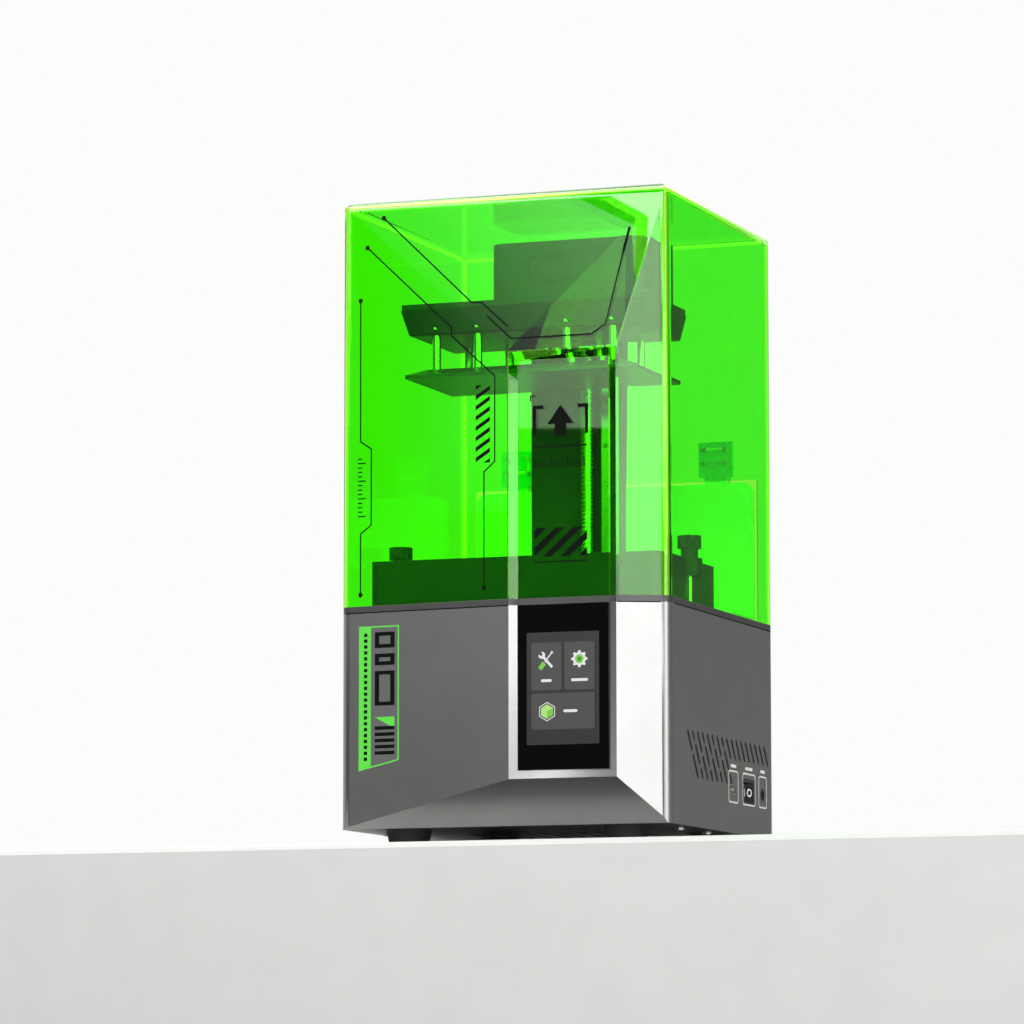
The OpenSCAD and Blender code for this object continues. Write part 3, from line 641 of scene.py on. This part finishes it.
def make_channel_prints():
    ink = Ink(on_channel)
    x0, x1 = 26.4, 64.9
    # a lifting arrow over a bar and ticks stands where the real cover carries a number
    ink.shape([(36, 285), (45.5, 298), (55, 285), (49.5, 285), (49.5, 277), (41.5, 277), (41.5, 285)])
    ink.line([(26.6, 277.6), (26.6, 297), (33, 297)], 2.4)
    ink.line([(64.6, 277.6), (64.6, 297), (58, 297)], 2.4)
    ink.bar(26.3, 269, 65, 270)
    pitch = 3.0
    for i in range(13):
        ink.bar(26.3 + i * pitch, 255, 27.3 + i * pitch, 262 if i % 4 == 0 else 259)
    for x, z in ((23.4, 304.5), (68.6, 251.2)):
        ink.bar(x, z, x + 3.4, z + 0.9)
        ink.bar(x, z - 3.2, x + 0.9, z)
    ink.stripes(x0, 193.6, x1, 213.5, 34, 11.5, 0.5)
    ink.bar(x0, 189.6, x1, 190.6)
    ink.make("channel_prints", "print_black", "lid", "lid_acrylic")


# ---- label on the base ----
LABEL = [(-106, 151.3), (-74.6, 151.3), (-74.6, 58), (-79, 56.6), (-106, 51)]
LABEL_INNER = [(-105, 150.3), (-75.6, 150.3), (-75.6, 58.6), (-79.6, 57.6), (-105, 52.2)]
LABEL_X0, LABEL_BAND_X = -105, -96.5  # the green band at its left
LABEL_TOP = 150.3
MARK_X = (-93.5, -78)
BLOCK_WALL = (3.4, 2.6)


def label_ink(layer):
    """Ink on the front, where a higher layer stands further out."""
    return Ink(lambda x, z: (x, front_y(x, z) - PRINT_LIFT * layer, z))


def make_label():
    edge = label_ink(1.0)
    edge.ring(LABEL, LABEL_INNER)
    edge.bar(LABEL_X0, 55, LABEL_BAND_X, LABEL_TOP)
    edge.shape([(LABEL_X0, 52.2), (LABEL_BAND_X, 54.1), (LABEL_BAND_X, 55), (LABEL_X0, 55)])
    edge.shape([(MARK_X[0], 88), (MARK_X[1], 88), (MARK_X[1], 80)])
    edge.make("label_green", "print_green", "base", "base_metal")
    field = label_ink(0.6)
    field.shape([(LABEL_BAND_X, LABEL_TOP), *LABEL_INNER[1:4], (LABEL_BAND_X, 54.1)])
    field.make("label_field", "print_grey", "base", "base_metal")
    marks = label_ink(1.6)
    x0, x1 = MARK_X
    dx, dz = BLOCK_WALL
    for z0, z1 in ((136, 147), (124, 132), (96, 120)):
        outer = [(x0, z0), (x1, z0), (x1, z1), (x0, z1)]
        hole = [(x0 + dx, z0 + dz), (x1 - dx, z0 + dz), (x1 - dx, z1 - dz), (x0 + dx, z1 - dz)]
        marks.ring(outer, hole)
    bar_pitch, dot_pitch, thick = 4.3, 4.1, 2.4
    for i in range(5):
        marks.bar(x0, 62 + i * bar_pitch, x1, 62 + thick + i * bar_pitch)
    for i in range(22):
        marks.bar(-102, 58 + i * dot_pitch, -99.4, 58 + thick + i * dot_pitch)
    marks.make("label_marks", "print_black", "base", "base_metal")


SEAM_Z = (160.5, 161.3)
SEAM_FRONT = 1.2                      # the rounded corners stop this far behind the front
SEAM_LEFT = (-HALF_W + 4.5, RIDGE_X[0] - 0.4)
SEAM_RIGHT = (RIDGE_X[1] + 0.4, HALF_W - 5.5)


def make_parting_line():
    """A black strip drawn round the base under the trim band: painted shade standing for the groove
    there.
    """
    z0, z1 = SEAM_Z
    x, y = HALF_W - CORNER_R, HALF_D - CORNER_R
    reach = CORNER_R + LINE_LIFT
    path = []
    for cx, cy, start in ((x, -y, -90), (x, y, 0), (-x, y, 90), (-x, -y, 180)):
        for i in range(7):
            a = math.radians(start + 15 * i)
            path.append((cx + reach * math.cos(a), cy + reach * math.sin(a)))
    verts = [(px, py, z) for px, py in path if py > -HALF_D + SEAM_FRONT for z in (z0, z1)]
    faces = [(i, i + 2, i + 3, i + 1) for i in range(0, len(verts) - 2, 2)]
    for strip in (SEAM_LEFT, SEAM_RIGHT):
        start = len(verts)
        for px in strip:
            verts += [(px, front_y(px, z) - LINE_LIFT, z) for z in (z0, z1)]
        faces.append((start, start + 2, start + 3, start + 1))
    # the groove's painted shade uses the prints' black
    new_piece("parting_line", verts, faces, [MATS["print_black"]], "base")


# ---- touch screen ----
SCREEN_SHIFT = 1.9                    # puts the picture in the middle of the glass
PICTURE = (20.9, 64.8, 73.2, 141.6)
TILES = ((24.2, 101.9, 46, 134.6), (48.2, 101.9, 69.8, 134.6), (24.2, 75.2, 69.8, 99.9))
BACK_LIFT, TILE_LIFT, MARK_LIFT, TOP_LIFT = 0.03, 0.06, 0.09, 0.12
TOOLS_AT = (35.0, 122.5)
SPANNER_TURN, DRIVER_TURN = 42, -38   # degrees
GEAR_AT = (59.0, 122.8)
GEAR_R, GEAR_TOOTH, GEAR_TEETH = 5.9, 1.4, 8
CUBE_AT = (35.6, 87.4)
TILE_BARS = ((31.2, 39, 107.6), (53.0, 65.2, 107.6), (47.4, 57.6, 86.6))
BAR_HEIGHT = 1.9


def on_screen(lift):
    return lambda x, z: (x + SCREEN_SHIFT, GLASS_Y - lift, z)


def gear_points(x, z, r, teeth, depth):
    points = []
    for i in range(teeth * 4):
        a = 2 * math.pi * (i - 0.5) / (teeth * 4)
        reach = r if i % 4 < 2 else r - depth
        points.append((x + reach * math.cos(a), z + reach * math.sin(a)))
    return points


def circle(x, z, r, n):
    turns = [2 * math.pi * (i - 0.5) / n for i in range(n)]
    return [(x + r * math.cos(a), z + r * math.sin(a)) for a in turns]


def hexagon(x, z, r):
    turns = [math.radians(60 * i) for i in range(6)]
    return [(x + r * math.sin(a), z + r * math.cos(a)) for a in turns]


def turned(points, x, z, degrees):
    c, s = math.cos(math.radians(degrees)), math.sin(math.radians(degrees))
    return [(x + px * c - pz * s, z + px * s + pz * c) for px, pz in points]


def make_screen():
    softened("touch_glass", 0.25, 10.0)
    lit = Ink(on_screen(BACK_LIFT))
    lit.shape(rounded_rect(*PICTURE, 0.6))
    lit.make("screen_back", "screen_off", "base", "black_glass")
    tiles = Ink(on_screen(TILE_LIFT))
    for box in TILES:
        tiles.shape(rounded_rect(*box, 1.3))
    tiles.make("screen_tiles", "screen_tile", "base", "black_glass")
    make_white_marks()
    make_green_marks()


def make_white_marks():
    """A spanner across a screwdriver, a gear, a hexagon, and bars where the real tiles carry words."""
    white = Ink(on_screen(MARK_LIFT))
    shank = [(-0.9, -6.5), (0.9, -6.5), (0.9, 2.6), (-0.9, 2.6)]
    jaw = [(-2.3, 3.6), (-0.9, 2.4), (0.9, 2.4), (2.3, 3.6), (2.5, 5.6), (1.0, 6.6), (1.0, 4.6),
           (-1.0, 4.6), (-1.0, 6.6), (-2.5, 5.6)]
    blade = [(-0.45, -1.5), (0.45, -1.5), (0.45, 5.4), (0.9, 7.4), (-0.9, 7.4), (-0.45, 5.4)]
    white.shape(turned(shank, *TOOLS_AT, SPANNER_TURN))
    white.shape(turned(jaw, *TOOLS_AT, SPANNER_TURN))
    white.shape(turned(blade, *TOOLS_AT, DRIVER_TURN))
    white.ring(gear_points(*GEAR_AT, GEAR_R, GEAR_TEETH, GEAR_TOOTH), circle(*GEAR_AT, 2.8, 32))
    white.ring(hexagon(*CUBE_AT, 6.6), hexagon(*CUBE_AT, 6.6 * 0.9))
    for x0, x1, z0 in TILE_BARS:
        white.shape(rounded_rect(x0, z0, x1, z0 + BAR_HEIGHT, 0.9))
    white.make("icon_light_marks", "icon_white", "base", "black_glass")


def make_green_marks():
    """The screwdriver's grip, the gear's hub and a cube with three shades of green."""
    grip = [(-1.5, -7.6), (1.5, -7.6), (1.7, -2.2), (-1.7, -2.2)]
    cube = hexagon(*CUBE_AT, 5.0)
    green = Ink(on_screen(TOP_LIFT))
    green.shape(turned(grip, *TOOLS_AT, DRIVER_TURN))
    green.ring(circle(*GEAR_AT, 3.1, 32), circle(*GEAR_AT, 1.5, 32))
    green.shape([cube[1], CUBE_AT, cube[3], cube[2]])
    green.make("icon_green_marks", "icon_green", "base", "black_glass")
    pale = Ink(on_screen(TOP_LIFT))
    pale.shape([cube[0], cube[1], CUBE_AT, cube[5]])
    pale.shape([cube[5], CUBE_AT, cube[3], cube[4]])
    pale.make("icon_pale_marks", "icon_pale_green", "base", "black_glass")
    dark = Ink(on_screen(TOP_LIFT))
    dark.shape(circle(*GEAR_AT, 1.5, 24))
    dark.make("icon_dark_marks", "icon_dark_green", "base", "black_glass")


# ---- ports and rocker ----
PORT_FRAMES = ((9.3, 31.9), (41.5, 71.5), (78.9, 98.2))
FRAME_R, FRAME_W = 3.0, 1.1
NAME_BAR = (2.0, 4.2)                 # its lower and upper edge above the frame
NAME_BAR_SHARE = 0.28                 # its half-width as a share of the frame's width
MARK_HALF_H = 2.6
ROCKER_I_Y = (-3.4, -1.4)
ROCKER_O_Y, ROCKER_O_R = 5.0, (3.0, 1.9)


def on_right(y, z):
    return (HALF_W + PRINT_LIFT, y, z)


def make_port_prints():
    ink = Ink(on_right)
    z0, z1 = PORT_Z
    for y0, y1 in PORT_FRAMES:
        outer = rounded_rect(y0, z0, y1, z1, FRAME_R)
        inner = rounded_rect(y0 + FRAME_W, z0 + FRAME_W, y1 - FRAME_W, z1 - FRAME_W, FRAME_R - FRAME_W)
        ink.ring(outer, inner)
        # a bar stands where each port's name is printed
        mid = (y0 + y1) / 2
        reach = (y1 - y0) * NAME_BAR_SHARE
        ink.shape(rounded_rect(mid - reach, z1 + NAME_BAR[0], mid + reach, z1 + NAME_BAR[1], 0.8))
    ink.make("port_prints", "print_white", "base", "base_metal")


ROCKER_AXIS_X = 111.0
ROCKER_HALF = 9.3
ROCKER_MARK_LIFT = 0.08


def rocker_face_x(y):
    """The rocker's outer face, which slopes one way before its middle and the other way behind it."""
    rise = 8.2 - (y + ROCKER_HALF) / ROCKER_HALF if y < 0 else 7.2 + y * 2.6 / ROCKER_HALF
    return ROCKER_AXIS_X + rise + ROCKER_MARK_LIFT


def make_rocker_marks():
    ink = Ink(lambda y, z: (rocker_face_x(y), SWITCH_Y + y, z))
    ink.bar(ROCKER_I_Y[0], PORT_MID_Z - MARK_HALF_H, ROCKER_I_Y[1], PORT_MID_Z + MARK_HALF_H)
    outer, inner = ROCKER_O_R
    ink.ring(circle(ROCKER_O_Y, PORT_MID_Z, outer, 24), circle(ROCKER_O_Y, PORT_MID_Z, inner, 24))
    ink.make("rocker_marks", "print_white", "rocker", "gloss_black_plastic")


# ---- lead screw and springs ----
THREAD_STEPS = 20                     # to a turn
END_SIDES = 24


def make_lead_screw():
    """A screw whose thread is one helical ridge, with a flat disc at each end."""
    cx, cy = SCREW_XY
    z0, z1 = SCREW_Z
    root, crest = THREAD_ROOT, THREAD_CREST
    around = int((z1 - z0) / THREAD_LEAD * THREAD_STEPS)
    profile = ((0.0, root), (0.2, root), (0.38, crest), (0.62, crest), (0.8, root), (1.0, root))
    verts, faces = [], []
    for i in range(around + 1):
        a = 2 * math.pi * i / THREAD_STEPS
        for share, r in profile:
            z = min(max(z0 + (i / THREAD_STEPS + share) * THREAD_LEAD, z0), z1)
            verts.append((cx + r * math.cos(a), cy + r * math.sin(a), z))
    n = len(profile)
    for i in range(around):
        for j in range(n - 1):
            a, b = i * n + j, (i + 1) * n + j
            faces.append((a, b, b + 1, a + 1))
    turns = [2 * math.pi * k / END_SIDES for k in range(END_SIDES)]
    for z in SCREW_Z:
        faces.append(tuple(len(verts) + k for k in range(END_SIDES)))
        verts += [(cx + root * math.cos(a), cy + root * math.sin(a), z) for a in turns]
    slot = SLOTS["lead_screw"]
    obj = new_piece("lead_screw_thread", verts, faces, [MATS[slot]], "screw", ("lead_screw",))
    smooth(obj, 28, False)


SPRING_TURNS, SPRING_STEPS, SPRING_SIDES = 4, 16, 8
SPRING_WIRE_R, SPRING_R = 0.65, 4.3


def make_springs():
    """Eight coil springs, one over each post."""
    verts, faces = [], []
    wire, sides = SPRING_WIRE_R, SPRING_SIDES
    z0, z1 = SPRING_Z[0] + wire, SPRING_Z[1] - wire
    rings = SPRING_TURNS * SPRING_STEPS + 1
    for px, py in POSTS:
        start = len(verts)
        for i in range(rings):
            a = 2 * math.pi * i / SPRING_STEPS
            z = z0 + (z1 - z0) * i / (rings - 1)
            for k in range(sides):
                b = 2 * math.pi * k / sides
                r = SPRING_R + wire * math.cos(b)
                verts.append((px + r * math.cos(a), py + r * math.sin(a), z + wire * math.sin(b)))
        for i in range(rings - 1):
            for k in range(sides):
                a = start + i * sides + k
                b = start + i * sides + (k + 1) % sides
                faces.append((a, b, b + sides, a + sides))
        faces.append(tuple(start + k for k in range(sides)))
        faces.append(tuple(start + (rings - 1) * sides + k for k in reversed(range(sides))))
    slot = SLOTS["float_springs"]
    obj = new_piece("post_springs", verts, faces, [MATS[slot]], "plate", ("float_springs",))
    smooth(obj, 60, False)


# ---- head cover details ----
def make_head_details():
    ink = Ink(lambda x, z: (x, HEAD_FRONT_Y - LINE_LIFT, z))
    ink.ring(rounded_rect(-30, 410, 2, 429, 2.5), rounded_rect(-29.4, 410.6, 1.4, 428.4, 1.9))
    ink.bar(30, 391, 30.7, 437)
    ink.make("head_panel_lines", "print_black", "base", "black_plastic")


# ---- everything ----
# node: the rounding's width, the shortest edge that is rounded
SOFT_EDGES = {
    "base_housing": (0.7, 14.0), "top_trim": (0.5, 14.0), "bottom_plate": (0.3, 20.0),
    "deck_plate": (0.3, 20.0), "lcd_bezel": (0.3, 10.0), "head_cover": (1.2, 10.0),
    "platform_block": (0.8, 8.0), "platform_cover": (0.8, 8.0), "build_plate": (0.3, 8.0),
    "vat_body": (0.8, 10.0), "rear_upright": (0.4, 10.0), "hinge_brackets": (0.5, 8.0),
    "lid_hinge_arms": (0.5, 8.0), "z_column": (0.5, 8.0), "column_cover": (0.3, 8.0),
    "tower_foot": (0.5, 5.0), "arm_bracket": (0.5, 6.0), "rail_carriage": (0.4, 6.0),
    "lead_nut": (0.4, 6.0), "top_bearing": (0.5, 6.0), "switch_body": (0.4, 8.0),
    "power_rocker": (0.5, 5.0), "usb_port": (0.15, 8.0), "fan_frame": (0.5, 8.0),
    "release_lever": (0.4, 8.0), "linear_rail": (0.3, 20.0), "z_motor": (0.4, 10.0),
    "light_box": (0.3, 10.0), "led_heatsink": (0.25, 10.0), "display_bracket": (0.3, 10.0),
    "film_frame": (0.2, 20.0),
}

MATS = make_materials()


def make_everything():
    make_cover()
    make_cover_prints()
    make_channel_prints()
    make_screen()
    make_label()
    make_parting_line()
    make_port_prints()
    make_rocker_marks()
    make_springs()
    make_head_details()
    make_lead_screw()
    done = {"lid_shell", "touch_glass", "float_springs", "lead_screw"}
    for node, (width, least) in SOFT_EDGES.items():
        softened(node, width, least)
        done.add(node)
    for node in sorted(set(NODES) - done):
        NODES[node].data.materials.clear()
        NODES[node].data.materials.append(MATS[SLOTS[node]])


def make_stage():
    """A pale plinth: the camera looks from below its top, so its front edge hides the feet."""
    x, z = TABLE_HALF_W, -TABLE_DEPTH
    y0, y1, b = TABLE_EDGE_Y, TABLE_BACK_Y, TABLE_BEVEL
    profile = [(y0 + b * 3, z), (y0, z + b), (y0, -b), (y0 + b * 0.3, -b * 0.3), (y0 + b, 0),
               (y1, 0), (y1, z)]
    verts = [(sx * x, y, h) for sx in (-1, 1) for y, h in profile]
    n = len(profile)
    faces = [tuple(range(n))[::-1], tuple(range(n, 2 * n))]
    faces += [(i, (i + 1) % n, (i + 1) % n + n, i + n) for i in range(n)]
    mesh = bpy.data.meshes.new("plinth")
    mesh.from_pydata([[c * MM for c in v] for v in verts], [], faces)
    mesh.materials.append(solid("plinth_paint", (0.5, 0.5, 0.49), 0.75, 0, 1200, 0.1, 0.02, 0.05))
    obj = bpy.data.objects.new("plinth", mesh)
    bpy.context.collection.objects.link(obj)


make_camera()
make_world()
make_lights()
make_stage()
make_everything()
bpy.context.scene.view_settings.view_transform = "Standard"
